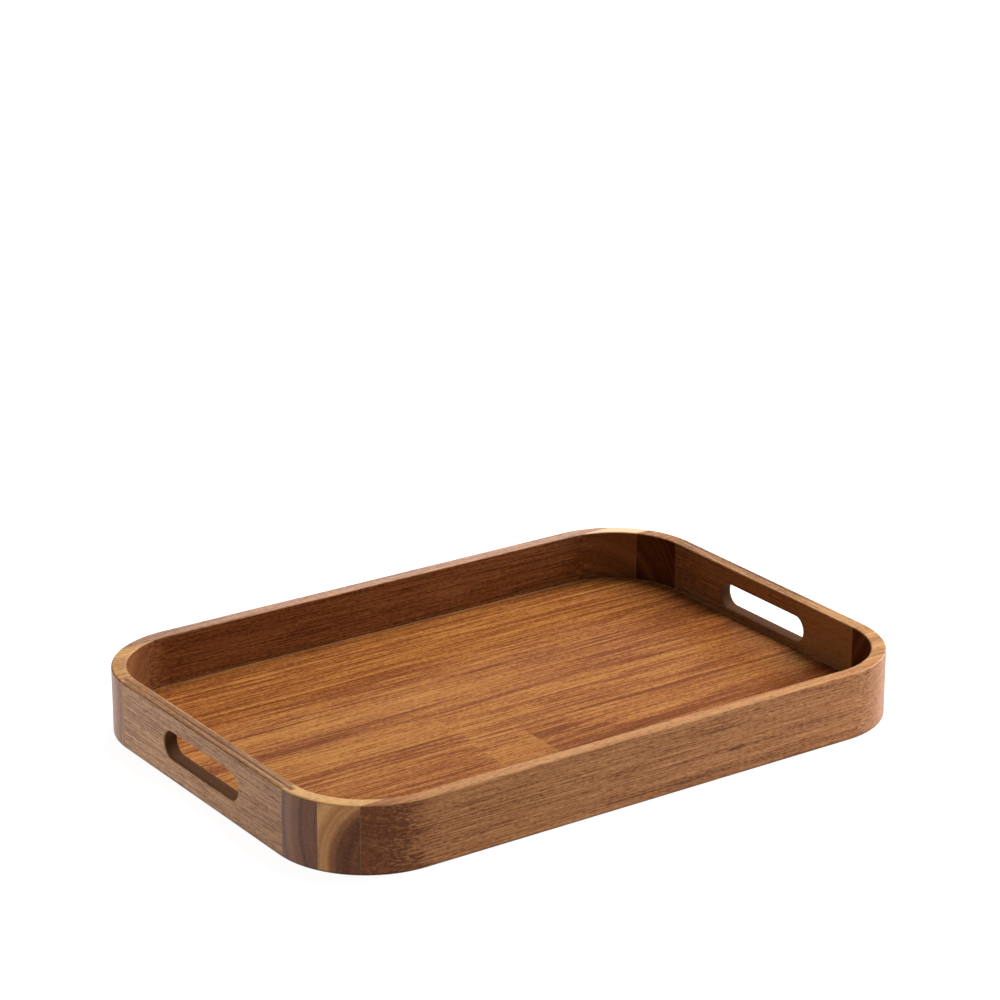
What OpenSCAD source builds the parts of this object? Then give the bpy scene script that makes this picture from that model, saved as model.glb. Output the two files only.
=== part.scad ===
// Rectangular wooden serving tray with rounded corners and a hand slot in each end.
// The rim is glued up from two long rails, two end rails and a pair of blocks in each corner.
// The floor is a panel of edge-glued boards, let into a rabbet in the rim from below.
// Origin: centre of the footprint, on the surface the tray stands on. +X is the long way, +Z is up.

/* [Overall] */
// Length of the tray, along X
tray_l = 500; // [460:5:540]
// Width of the tray, along Y
tray_w = 350; // [330:5:380]
// Height of the rim
rim_h = 50; // [46:1:58]

/* [Rim] */
// Thickness of the rim wall
wall_t = 11; // [10:0.5:12.5]
// Outer radius of the corners in plan
corner_r = 70; // [66:1:80]
// Radius of the eased edges of the rim and the hand slots
ease_r = 1.2; // [0.6:0.1:1.6]

/* [Corner joints] */
// Depth of the long rail's board, measured in from the tray's long side
rail_board = 14; // [13:0.5:17]
// Width of the outer block of each corner, along Y
outer_block_w = 22; // [18:1:24]
// How much further out the block joints of the back right corner lie than those of the others
back_right_shift = 2; // [0:0.5:2.5]
// How far the left end rail's front shoulder reaches past the start of the corner's curve
front_left_reach = 3.5; // [0.5:0.5:6]
// The same for the right end rail's front shoulder
front_right_reach = 1.5; // [0.5:0.5:6]
// The same for the left end rail's back shoulder
back_left_reach = 0.5; // [0.5:0.5:6]
// The same for the right end rail's back shoulder
back_right_reach = 1.5; // [0.5:0.5:6]
// Length of the tongue on each end of an end rail
tongue_l = 6; // [4:0.5:8]
// Thickness of that tongue
tongue_t = 5.4; // [4:0.2:6]

/* [Hand slots] */
// Length of each hand slot, end to end
slot_l = 100; // [85:1:110]
// Height of each hand slot
slot_h = 20; // [16:1:22]
// Height of the slot's centre above the table
slot_z = 27; // [26:0.5:29]
// How far the left hand slot lies from the tray's centre line, along Y
left_slot_y = -2; // [-4:0.5:4]

/* [Floor] */
// Height of the floor's top face above the table
floor_z = 11.5; // [10:0.5:12.5]
// Thickness of the floor boards
floor_t = 9; // [6:0.5:10]
// How far the floor reaches under the rim
rabbet_w = 5; // [3:0.5:6]
// Space left round the floor for the wood to move
floor_gap = 0.3; // [0.2:0.1:0.6]
// Width of one floor board
board_w = 57; // [54:0.5:60]
// How far the middle seam lies from the tray's centre line
seam_shift = 6.5; // [-8:0.5:8]
// Place along X of the end joint in the third board from the front
long_joint_x = -56; // [-90:1:-20]
// Place along X of the left end of the filler piece in the second board
filler_x = -60; // [-90:1:-40]
// Length of that filler piece
filler_l = 45; // [35:1:60]

/* [Hidden] */

$fn = 96;
big = tray_l;                       // longer than any cut needs to be
over = 1;                           // how far a cut runs past the face it cuts through
board_count = 6;                    // rows of floor boards
straight_x = tray_l / 2 - corner_r; // where a long side turns into the corner
straight_y = tray_w / 2 - corner_r; // where a short side turns into the corner

tongue_x = tray_l / 2 - wall_t / 2; // middle of the end rail's thickness
rail_y = tray_w / 2 - rail_board;   // face between a long rail and an outer block

// Joint faces of a corner, as distances from the centre line: between the long rail and the outer
// block, between the two blocks, and the end rail's shoulder
function corner_joints(shift, reach) =
    [rail_y + shift, rail_y + shift - outer_block_w, straight_y + reach];
front_left = corner_joints(0, front_left_reach);
front_right = corner_joints(0, front_right_reach);
back_left = corner_joints(0, back_left_reach);
back_right = corner_joints(back_right_shift, back_right_reach);

floor_l = tray_l - 2 * (wall_t - rabbet_w + floor_gap);
floor_w = tray_w - 2 * (wall_t - rabbet_w + floor_gap);
floor_r = corner_r - wall_t + rabbet_w - floor_gap;

// ---- Rim ----

// Waste left of a square corner once its edge is eased, with the sharp corner at the origin
module ease_waste() {
    difference() {
        translate([-over, -over]) square(ease_r + over);
        translate([ease_r, ease_r]) circle(ease_r);
    }
}

// Section of the rim wall: x runs from the inner face (0) to the outer face, y is the height
module rim_section() {
    difference() {
        square([wall_t, rim_h]);
        translate([-over, -over]) square([rabbet_w + over, floor_z + over]);
        translate([0, rim_h]) mirror([0, 1]) ease_waste();
        translate([wall_t, rim_h]) mirror([1, 0]) mirror([0, 1]) ease_waste();
        translate([wall_t, 0]) mirror([1, 0]) ease_waste();
    }
}

// The +X +Y corner of the rim, a quarter turn of the section
module rim_corner() {
    translate([straight_x, straight_y, 0])
        rotate_extrude(angle = 90) translate([corner_r - wall_t, 0]) rim_section();
}

// A straight length of the rim along Y on the +X side, from y = -half to y = half
module rim_straight(half, face_x) {
    translate([face_x - wall_t, half, 0])
        rotate([90, 0, 0]) linear_extrude(2 * half) rim_section();
}

// Everything between two heights of y, on one side of the tray's length
module y_band(y0, y1) {
    translate([0, y0, -over]) cube([big, y1 - y0, rim_h + 2 * over]);
}

// Long rail on the +Y side, with its two ends following the corners. Its joint faces can lie at
// different places on the left and on the right.
module long_rail(left, right) {
    rail_top = tray_w / 2 + over;
    intersection() {
        union() {
            rotate([0, 0, 90]) rim_straight(straight_x, tray_w / 2);
            rim_corner();
            mirror([1, 0, 0]) rim_corner();
        }
        union() {
            y_band(right[0], rail_top);
            mirror([1, 0, 0]) y_band(left[0], rail_top);
        }
    }
}

// Outer block of the +X +Y corner
module outer_block(joints) {
    intersection() {
        rim_corner();
        y_band(joints[1], joints[0]);
    }
}

// Space that the end rail's tongue takes up in the +X +Y corner
module tongue_space(joints) {
    translate([tongue_x - tongue_t / 2, joints[2], -over])
        cube([tongue_t, tongue_l, rim_h + 2 * over]);
}

// Inner block of the +X +Y corner, slotted for the tongue
module inner_block(joints) {
    difference() {
        intersection() {
            rim_corner();
            y_band(joints[2], joints[1]);
        }
        tongue_space(joints);
    }
}

// Half the section of the hand slot's cutter, flared where it meets both faces: x runs out from
// the slot's middle, y through the wall
module slot_half_section() {
    square([slot_h / 2, wall_t]);
    for (side = [0, 1])
        translate([slot_h / 2, side * wall_t]) mirror([0, side]) difference() {
            square(ease_r);
            translate([ease_r, ease_r]) circle(ease_r);
        }
}

// Hand slot cutter across the wall on the +X side, with half-round ends
module hand_slot(slot_y) {
    end_offset = (slot_l - slot_h) / 2;
    translate([tray_l / 2 - wall_t, slot_y, slot_z]) rotate([0, 90, 0]) {
        for (side = [-1, 1])
            translate([0, side * end_offset, 0]) rotate_extrude() slot_half_section();
        translate([0, end_offset, 0]) rotate([90, 0, 0]) linear_extrude(2 * end_offset)
            for (side = [0, 1]) mirror([side, 0]) slot_half_section();
    }
}

// Shouldered +Y end of the end rail on the +X side, with its tongue
module end_rail_end(joints) {
    intersection() {
        rim_corner();
        union() {
            y_band(0, joints[2]);
            tongue_space(joints);
        }
    }
}

// End rail on the +X side, with its hand slot cut
module end_rail(front, back, slot_y) {
    difference() {
        union() {
            rim_straight(straight_y, tray_l / 2);
            end_rail_end(back);
            mirror([0, 1, 0]) end_rail_end(front);
        }
        hand_slot(slot_y);
    }
}

// ---- Floor ----

// The whole floor panel: a rectangle with four round corners
module floor_panel() {
    translate([0, 0, floor_z - floor_t]) linear_extrude(floor_t) {
        square([floor_l - 2 * floor_r, floor_w], center = true);
        square([floor_l, floor_w - 2 * floor_r], center = true);
        for (sx = [-1, 1], sy = [-1, 1])
            translate([sx * (floor_l / 2 - floor_r), sy * (floor_w / 2 - floor_r)]) circle(floor_r);
    }
}

// Seam number i: the one between boards i and i + 1, counted from the front
function seam_y(i) =
    i == 0 ? -floor_w / 2 - over :
    i == board_count ? floor_w / 2 + over :
    seam_shift + (i - board_count / 2) * board_w;

// Board number i of the floor, from x0 to x1
module floor_board(i, x0 = -big / 2, x1 = big / 2) {
    intersection() {
        floor_panel();
        translate([x0, seam_y(i - 1), 0]) cube([x1 - x0, seam_y(i) - seam_y(i - 1), floor_z + over]);
    }
}

// ---- The pieces ----

module front_rail() { color("peru") mirror([0, 1, 0]) long_rail(front_left, front_right); }
module back_rail() { color("sienna") long_rail(back_left, back_right); }
module left_end_rail() {
    color("rosybrown") mirror([1, 0, 0]) end_rail(front_left, back_left, left_slot_y);
}
module right_end_rail() { color("peru") end_rail(front_right, back_right, 0); }

module front_left_outer_block() { color("burlywood") rotate([0, 0, 180]) outer_block(front_left); }
module front_left_inner_block() { color("saddlebrown") rotate([0, 0, 180]) inner_block(front_left); }
module front_right_outer_block() { color("burlywood") mirror([0, 1, 0]) outer_block(front_right); }
module front_right_inner_block() { color("sienna") mirror([0, 1, 0]) inner_block(front_right); }
module back_left_outer_block() { color("burlywood") mirror([1, 0, 0]) outer_block(back_left); }
module back_left_inner_block() { color("sienna") mirror([1, 0, 0]) inner_block(back_left); }
module back_right_outer_block() { color("burlywood") outer_block(back_right); }
module back_right_inner_block() { color("saddlebrown") inner_block(back_right); }

module floor_board_1() { color("chocolate") floor_board(1); }
module floor_board_2_left() { color("peru") floor_board(2, x1 = filler_x); }
module floor_board_2_filler() { color("burlywood") floor_board(2, filler_x, filler_x + filler_l); }
module floor_board_2_right() { color("saddlebrown") floor_board(2, filler_x + filler_l); }
module floor_board_3_left() { color("burlywood") floor_board(3, x1 = long_joint_x); }
module floor_board_3_right() { color("peru") floor_board(3, long_joint_x); }
module floor_board_4() { color("peru") floor_board(4); }
module floor_board_5() { color("chocolate") floor_board(5); }
module floor_board_6() { color("peru") floor_board(6); }

front_rail();
back_rail();
left_end_rail();
right_end_rail();
front_left_outer_block();
front_left_inner_block();
front_right_outer_block();
front_right_inner_block();
back_left_outer_block();
back_left_inner_block();
back_right_outer_block();
back_right_inner_block();
floor_board_1();
floor_board_2_left();
floor_board_2_filler();
floor_board_2_right();
floor_board_3_left();
floor_board_3_right();
floor_board_4();
floor_board_5();
floor_board_6();
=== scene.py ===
"""Serving tray: the looks of its rim, corner blocks and floor boards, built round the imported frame."""

import itertools
import math
from collections import namedtuple

import bmesh
import bpy
from bpy.props import FloatProperty, FloatVectorProperty, IntProperty, PointerProperty
from bpy.types import Operator, Panel, PropertyGroup
from mathutils import Matrix, Vector


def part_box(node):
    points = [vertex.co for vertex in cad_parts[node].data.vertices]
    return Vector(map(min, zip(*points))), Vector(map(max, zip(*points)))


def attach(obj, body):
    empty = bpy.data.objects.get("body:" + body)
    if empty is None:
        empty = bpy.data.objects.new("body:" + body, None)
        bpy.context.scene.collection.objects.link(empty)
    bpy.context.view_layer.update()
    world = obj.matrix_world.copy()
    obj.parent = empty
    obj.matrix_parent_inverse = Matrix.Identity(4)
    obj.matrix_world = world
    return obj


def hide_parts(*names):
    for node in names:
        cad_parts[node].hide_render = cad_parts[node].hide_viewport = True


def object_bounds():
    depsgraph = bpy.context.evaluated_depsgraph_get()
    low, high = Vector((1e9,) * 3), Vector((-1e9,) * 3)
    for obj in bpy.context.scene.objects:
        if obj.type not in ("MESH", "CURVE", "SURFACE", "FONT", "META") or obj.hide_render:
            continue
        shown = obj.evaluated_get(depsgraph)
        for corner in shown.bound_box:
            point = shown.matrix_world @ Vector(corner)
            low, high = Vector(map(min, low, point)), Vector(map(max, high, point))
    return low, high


bl_info = {
    "name": "Serving Tray",
    "version": (1, 0, 0),
    "blender": (4, 5, 0),
    "location": "View3D > Sidebar > Tray",
    "description": "Builds a wooden serving tray with glued-up corners, its wood finishes and a studio",
    "category": "Object",
}

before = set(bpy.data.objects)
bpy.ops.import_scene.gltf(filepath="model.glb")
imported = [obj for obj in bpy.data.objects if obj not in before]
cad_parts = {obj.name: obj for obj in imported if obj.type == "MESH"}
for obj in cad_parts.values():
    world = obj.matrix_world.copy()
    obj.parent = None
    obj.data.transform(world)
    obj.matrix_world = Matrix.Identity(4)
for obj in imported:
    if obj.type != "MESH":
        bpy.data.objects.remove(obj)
LOADED_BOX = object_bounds()

# ---- Sizes that come from the frame, in metres ----

HALF_L = LOADED_BOX[1].x
HALF_W = LOADED_BOX[1].y
RIM_H = LOADED_BOX[1].z


def round_corner(short_by, depth):
    """Radius of a round corner whose outline is short_by less than the full length at that depth."""
    return short_by + depth + math.sqrt(2 * short_by * depth)


# Joint faces of a corner, as distances from the tray's middle: between the long rail and the outer
# block, between the two blocks, the end rail's shoulder, and the end of its tongue
Joints = namedtuple("Joints", "rail block shoulder tongue")


def corner_joints(corner):
    """Joint faces of one corner, read from the frame's boxes."""
    side_y, side_x = corner.split("_")
    block, rail = sorted(abs(point.y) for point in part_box(corner + "_outer_block"))
    shoulder = min(abs(point.y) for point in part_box(corner + "_inner_block"))
    tongue = abs(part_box(side_x + "_end_rail")[side_y == "back"].y)
    return Joints(rail, block, shoulder, tongue)


JOINTS = {
    corner: corner_joints(corner)
    for corner in ("front_left", "front_right", "back_left", "back_right")
}
CORNER_R = round_corner(HALF_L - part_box("back_rail")[1].x, HALF_W - JOINTS["back_right"].rail)
TURN_X = HALF_L - CORNER_R
TURN_Y = HALF_W - CORNER_R

FLOOR_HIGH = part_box("floor_board_4")[1]
FLOOR_HALF_L = FLOOR_HIGH.x
FLOOR_HALF_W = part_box("floor_board_6")[1].y
FLOOR_R = round_corner(
    FLOOR_HALF_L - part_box("floor_board_6")[1].x,
    FLOOR_HALF_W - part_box("floor_board_6")[0].y,
)

MM = 0.001


# ---- What a user would change ----


def length_value(name, description, default):
    """A length that a user can set."""
    return FloatProperty(name=name, description=description, default=default, unit="LENGTH")


def power_value(name, description, default):
    """A lamp's power that a user can set."""
    return FloatProperty(name=name, description=description, default=default, unit="POWER")


class TraySizes(PropertyGroup):
    """Sizes that the frame's boxes don't give."""

    wall: length_value("Wall", "Thickness of the rim", 0.011)
    rabbet: length_value("Rabbet", "How far the floor reaches under the rim", 0.005)
    ease: length_value("Eased edges", "Radius of the rim's rounded edges", 0.0012)
    tongue: length_value("Tongue", "Thickness of the tongue on an end rail", 0.0054)
    slot_length: length_value("Slot length", "Length of a hand slot, end to end", 0.1)
    slot_height: length_value("Slot height", "Height of a hand slot", 0.02)
    slot_centre: length_value("Slot centre", "Height of a hand slot's middle above the table", 0.027)
    left_slot: length_value(
        "Left slot", "How far the left hand slot lies from the tray's middle, along y", -0.002
    )
    turn_steps: IntProperty(
        name="Steps in a turn",
        description="Faces along one piece's share of a corner",
        default=12,
        min=4,
        max=32,
    )


def wood_colour(name, description, default):
    """A wood's colour that a user can set."""
    return FloatVectorProperty(
        name=name, description=description, default=default, subtype="COLOR", min=0, max=1
    )


class TrayWoods(PropertyGroup):
    """The woods, each from its darkest streaks to its palest."""

    floor_dark: wood_colour("Floor, dark", "Heartwood streaks in the floor", (0.170, 0.044, 0.010))
    floor_mid: wood_colour("Floor, middle", "Body of the floor boards", (0.312, 0.102, 0.026))
    floor_pale: wood_colour("Floor, pale", "Palest floor wood", (0.455, 0.196, 0.046))
    rail_dark: wood_colour("Rail, dark", "Dark streaks in the long rails", (0.125, 0.033, 0.008))
    rail_mid: wood_colour("Rail, middle", "Body of the long rails", (0.385, 0.152, 0.050))
    rail_pale: wood_colour("Rail, pale", "Palest rail wood", (0.540, 0.262, 0.095))
    end_dark: wood_colour("End rail, dark", "Dark streaks in the end rails", (0.110, 0.040, 0.014))
    end_mid: wood_colour("End rail, middle", "Body of the end rails", (0.325, 0.142, 0.050))
    end_pale: wood_colour("End rail, pale", "Palest end rail wood", (0.500, 0.260, 0.100))
    block_dark: wood_colour("Block, dark", "Dark bands in the corner blocks", (0.085, 0.020, 0.004))
    block_mid: wood_colour("Block, middle", "Body of the corner blocks", (0.320, 0.125, 0.043))
    block_pale: wood_colour("Block, pale", "Palest block wood", (0.660, 0.360, 0.130))
    # The slot colour is painted shade inside the hand slots, where little light reaches
    slot: wood_colour("Slot", "Sawn wood inside the hand slots", (0.070, 0.024, 0.006))
    # The glue colour also paints the highlight along the floor's seam
    glue: wood_colour("Glue line", "Cured glue in the rim's joints", (0.620, 0.430, 0.240))
    roughness: FloatProperty(
        name="Roughness", description="Roughness of the oiled surface", default=0.42, min=0, max=1
    )


class TrayStudio(PropertyGroup):
    """The table, the lights and the camera."""

    table_glow: FloatProperty(
        name="Table glow", description="How far the table is lit past white", default=0.93
    )
    top_light: power_value("Top light", "Power of the soft light above", 100.0)
    side_light: power_value("Side light", "Power of the light on the right", 27.0)
    back_light: power_value("Back light", "Power of the small light behind the tray", 2.0)
    lens: FloatProperty(name="Lens", description="Focal length in mm", default=121.496)
    azimuth: FloatProperty(
        name="Azimuth",
        description="Direction of the camera, turned from the tray's front",
        default=math.radians(-34.672),
        subtype="ANGLE",
    )
    elevation: FloatProperty(
        name="Elevation",
        description="Angle of the camera above the table",
        default=math.radians(19.909),
        subtype="ANGLE",
    )
    distance: length_value("Distance", "Camera to tray", 2.4383)
    aim_right: length_value("Aim right", "Camera moved sideways", -0.00075)
    aim_up: length_value("Aim up", "Camera moved up its own view", 0.15655)


# ---- Meshes ----

# Faces that meet more sharply than this keep a crisp edge
SHARP_ANGLE = math.radians(35)


def lattice_skin(name, cells, filled, place, wear_and_highlight=None, hollow_at=None):
    """Mesh made of the outer faces of a block of cells.
    cells is the number of cells each way, filled says whether a cell is wood, place gives a corner's
    position, wear_and_highlight how much of a rounded edge a corner is on, for the edges' wear and
    painted highlight, and hollow_at how deep in a slot it is."""
    mesh_edit = bmesh.new()
    edge_layer = mesh_edit.verts.layers.float.new("arris")
    hollow_layer = mesh_edit.verts.layers.float.new("hollow")
    corners = {}

    def corner(node):
        if node not in corners:
            vert = mesh_edit.verts.new(place(*node))
            vert[edge_layer] = wear_and_highlight(*node) if wear_and_highlight else 0.0
            vert[hollow_layer] = hollow_at(*node) if hollow_at else 0.0
            corners[node] = vert
        return corners[node]

    def is_wood(cell):
        inside = all(0 <= c < n for c, n in zip(cell, cells))
        return inside and filled(*cell)

    for cell in itertools.product(*(range(n) for n in cells)):
        if not filled(*cell):
            continue
        for axis, side in itertools.product(range(3), (0, 1)):
            beyond = list(cell)
            beyond[axis] += 1 if side else -1
            if is_wood(beyond):
                continue
            across, up = (axis + 1) % 3, (axis + 2) % 3
            ring = []
            for step_across, step_up in ((0, 0), (1, 0), (1, 1), (0, 1)):
                node = list(cell)
                node[axis] += side
                node[across] += step_across
                node[up] += step_up
                ring.append(corner(tuple(node)))
            mesh_edit.faces.new(ring)
    bmesh.ops.recalc_face_normals(mesh_edit, faces=mesh_edit.faces)
    mesh = bpy.data.meshes.new(name)
    mesh_edit.to_mesh(mesh)
    mesh_edit.free()
    mesh.shade_smooth()
    mesh.set_sharp_from_angle(angle=SHARP_ANGLE)
    return mesh


def mirrored(mesh, side_x, side_y):
    """Turns a mesh made for the back right corner into the one for another corner."""
    mesh.transform(Matrix.Diagonal((side_x, side_y, 1, 1)))
    if side_x * side_y < 0:
        mesh.flip_normals()
    return mesh


def add_piece(node, mesh, material):
    """Puts a finished mesh in the scene in place of its CAD node."""
    piece = bpy.data.objects.new(node + "_wood", mesh)
    bpy.context.scene.collection.objects.link(piece)
    mesh.materials.append(material)
    flat = piece.modifiers.new("Flat faces stay flat", "WEIGHTED_NORMAL")
    flat.keep_sharp = True
    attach(piece, "root")
    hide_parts(node)
    return piece


# Faces round an eased edge, on each side of its middle, and the degrees that each of them turns
EASE_STEPS = 3
STEP_TURN = 45 / EASE_STEPS

# Height of the row of corners half way up a plain wall
MIDDLE_HEIGHT = 0.03

# Faces along the straight part of a long rail
STRAIGHT_STEPS = 16


def ease_point(radius, turn):
    """Place on an eased edge, measured in from its two faces, after a turn of 0 to 90 degrees."""
    angle = math.radians(turn)
    return radius * (1 - math.cos(angle)), radius * (1 - math.sin(angle))


class RimSection:
    """Section of the rim wall as a lattice: depth goes in from the outer face, height up."""

    def __init__(self, sizes, middle_heights):
        self.wall = sizes.wall
        self.ease = sizes.ease
        steps = [ease_point(self.ease, 45 + STEP_TURN * i)[0] for i in range(EASE_STEPS + 1)]
        steps[0] = 0.0
        tongue_out = (self.wall - sizes.tongue) / 2
        rabbet = self.wall - sizes.rabbet
        middle = [tongue_out, rabbet, self.wall - tongue_out]
        self.depths = steps + middle + [self.wall - s for s in reversed(steps)]
        self.tongue = (len(steps), len(steps) + 2)
        self.rabbet_from = len(steps) + 1
        self.heights = steps + [FLOOR_HIGH.z] + middle_heights + [RIM_H - s for s in reversed(steps)]
        self.floor_row = len(steps)
        self.last_depth = len(self.depths) - 1
        self.last_height = len(self.heights) - 1

    def is_wall(self, i, j):
        """Whether a cell is wood: the floor's rabbet isn't."""
        return i < self.rabbet_from or j >= self.floor_row

    def near_edge(self, i, j):
        """The eased edge that a corner of the lattice is on, as steps away from it, or None."""
        inner = i > self.last_depth - i
        top = j > self.last_height - j
        if inner and not top:
            return None
        a = self.last_depth - i if inner else i
        b = self.last_height - j if top else j
        if (a == 0 and b <= EASE_STEPS) or (b == 0 and a <= EASE_STEPS):
            return inner, top, 45 + STEP_TURN * (a - b)
        return None

    def place(self, i, j):
        """Depth and height of a corner of the lattice."""
        edge = self.near_edge(i, j)
        if edge is None:
            return self.depths[i], self.heights[j]
        inner, top, turn = edge
        depth, height = ease_point(self.ease, turn)
        return (self.wall - depth if inner else depth), (RIM_H - height if top else height)

    def wear_and_highlight(self, i, j):
        """How close a corner of the lattice is to the middle of an eased edge, from 0 to 1."""
        edge = self.near_edge(i, j)
        return 0.0 if edge is None else 1 - abs(edge[2] - 45) / 45


def turn_angle(radius, y):
    """Angle round the back right corner at which that radius meets the plane at y."""
    return math.asin((y - TURN_Y) / radius)


def on_turn(depth, angle):
    """Place on the back right corner, at that depth in from its outer face."""
    radius = CORNER_R - depth
    return TURN_X + radius * math.cos(angle), TURN_Y + radius * math.sin(angle)


def between(a, b, share):
    """Value that lies that share of the way from a to b."""
    return a + (b - a) * share


def long_rail_mesh(sizes, left, right):
    """Back rail: straight, with an end that follows each corner. left and right are their joints."""
    section = RimSection(sizes, [MIDDLE_HEIGHT])
    turn = sizes.turn_steps
    stations = 2 * turn + STRAIGHT_STEPS

    def place(i, j, k):
        depth, height = section.place(i, j)
        from_end = min(k, stations - k)
        side = 1 if k == from_end else -1
        if from_end <= turn:
            start = turn_angle(CORNER_R - depth, right.rail if side == 1 else left.rail)
            x, y = on_turn(depth, between(start, math.pi / 2, from_end / turn))
        else:
            x = between(TURN_X, 0, (from_end - turn) / (STRAIGHT_STEPS / 2))
            y = HALF_W - depth
        return side * x, y, height

    cells = (section.last_depth, section.last_height, stations)
    return lattice_skin(
        "long_rail",
        cells,
        lambda i, j, k: section.is_wall(i, j),
        place,
        lambda i, j, k: section.wear_and_highlight(i, j),
    )


def outer_block_mesh(sizes, joints):
    """Outer block of the back right corner."""
    section = RimSection(sizes, [MIDDLE_HEIGHT])
    turn = sizes.turn_steps

    def place(i, j, k):
        depth, height = section.place(i, j)
        radius = CORNER_R - depth
        low, high = turn_angle(radius, joints.block), turn_angle(radius, joints.rail)
        angle = between(low, high, k / turn)
        return (*on_turn(depth, angle), height)

    cells = (section.last_depth, section.last_height, turn)
    return lattice_skin(
        "outer_block",
        cells,
        lambda i, j, k: section.is_wall(i, j),
        place,
        lambda i, j, k: section.wear_and_highlight(i, j),
    )


def inner_block_mesh(sizes, joints):
    """Inner block of the back right corner, with a groove for the end rail's tongue."""
    section = RimSection(sizes, [MIDDLE_HEIGHT])
    first, last = section.tongue
    turn = sizes.turn_steps

    def place(i, j, k):
        depth, height = section.place(i, j)
        if k <= 1 and first <= i <= last:
            return HALF_L - depth, (joints.shoulder, joints.tongue)[k], height
        radius = CORNER_R - depth
        start = turn_angle(radius, joints.shoulder if k == 0 else joints.tongue)
        share = max(k - 1, 0) / (turn - 1)
        angle = between(start, turn_angle(radius, joints.block), share)
        return (*on_turn(depth, angle), height)

    def filled(i, j, k):
        groove = k == 0 and first <= i < last
        return section.is_wall(i, j) and not groove

    cells = (section.last_depth, section.last_height, turn)
    return lattice_skin(
        "inner_block", cells, filled, place, lambda i, j, k: section.wear_and_highlight(i, j)
    )


# Steps of the hand slot's outline: a side's middle arc, and each corner arc beside it
SLOT_ARC = 8
SLOT_SHOULDER = 4
SLOT_STRAIGHT = 10

# Plain wall kept beside a hand slot, and where the rest of the end rail is divided, along y
SLOT_MARGIN = 0.012
END_DIVISIONS = (0.09, 0.076)


class HandSlot:
    """Outline of a hand slot, laid on a lattice of stations along y and rows in height."""

    def __init__(self, sizes, middle, first_station, first_row):
        self.middle = middle
        self.k0 = first_station
        self.k1 = first_station + 2 * SLOT_SHOULDER + SLOT_STRAIGHT
        self.j0 = first_row
        self.j1 = first_row + SLOT_ARC
        self.radius = sizes.slot_height / 2
        self.reach = sizes.slot_length / 2 - self.radius
        self.centre = sizes.slot_centre
        self.ease = sizes.ease
        self.wall = sizes.wall

    def side_turn(self, j):
        """Angle above level of a row's point on the slot's end arc."""
        return math.radians(between(-45, 45, (j - self.j0) / SLOT_ARC))

    def row_height(self, j):
        return self.centre + self.radius * math.sin(self.side_turn(j))

    def long_way(self, k, radius):
        """Place of a station's point on the slot's upper edge: its y, and its height from the centre."""
        step = k - self.k0
        last = self.k1 - self.k0
        mirrored_step = min(step, last - step)
        side = -1 if step == mirrored_step else 1
        if mirrored_step <= SLOT_SHOULDER:
            angle = math.radians(between(45, 90, mirrored_step / SLOT_SHOULDER))
            y = self.middle + side * (self.reach + radius * math.cos(angle))
            return y, radius * math.sin(angle)
        share = (mirrored_step - SLOT_SHOULDER) / (SLOT_STRAIGHT / 2)
        return self.middle + side * self.reach * (1 - share), radius

    def holds(self, j, k):
        """Whether a cell is cut away."""
        return self.j0 <= j < self.j1 and self.k0 <= k < self.k1

    def touches(self, j, k):
        """Whether a corner of the lattice is on the slot's edge."""
        on_side = k in (self.k0, self.k1) and self.j0 <= j <= self.j1
        on_top = j in (self.j0, self.j1) and self.k0 <= k <= self.k1
        return on_side or on_top

    def place(self, level, levels, depth, j, k):
        """Depth, y and height of a corner on the slot's edge; its mouths are eased."""
        from_face = min(level, levels - level)
        flare = 0.0
        if from_face <= EASE_STEPS:
            near, flare = ease_point(self.ease, 90 * from_face / EASE_STEPS)
            depth = near if level == from_face else self.wall - near
        radius = self.radius + flare
        if j in (self.j0, self.j1):
            y, height = self.long_way(k, radius)
            return depth, y, self.centre + (height if j == self.j1 else -height)
        turn = self.side_turn(j)
        side = -1 if k == self.k0 else 1
        y = self.middle + side * (self.reach + radius * math.cos(turn))
        return depth, y, self.centre + radius * math.sin(turn)


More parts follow.
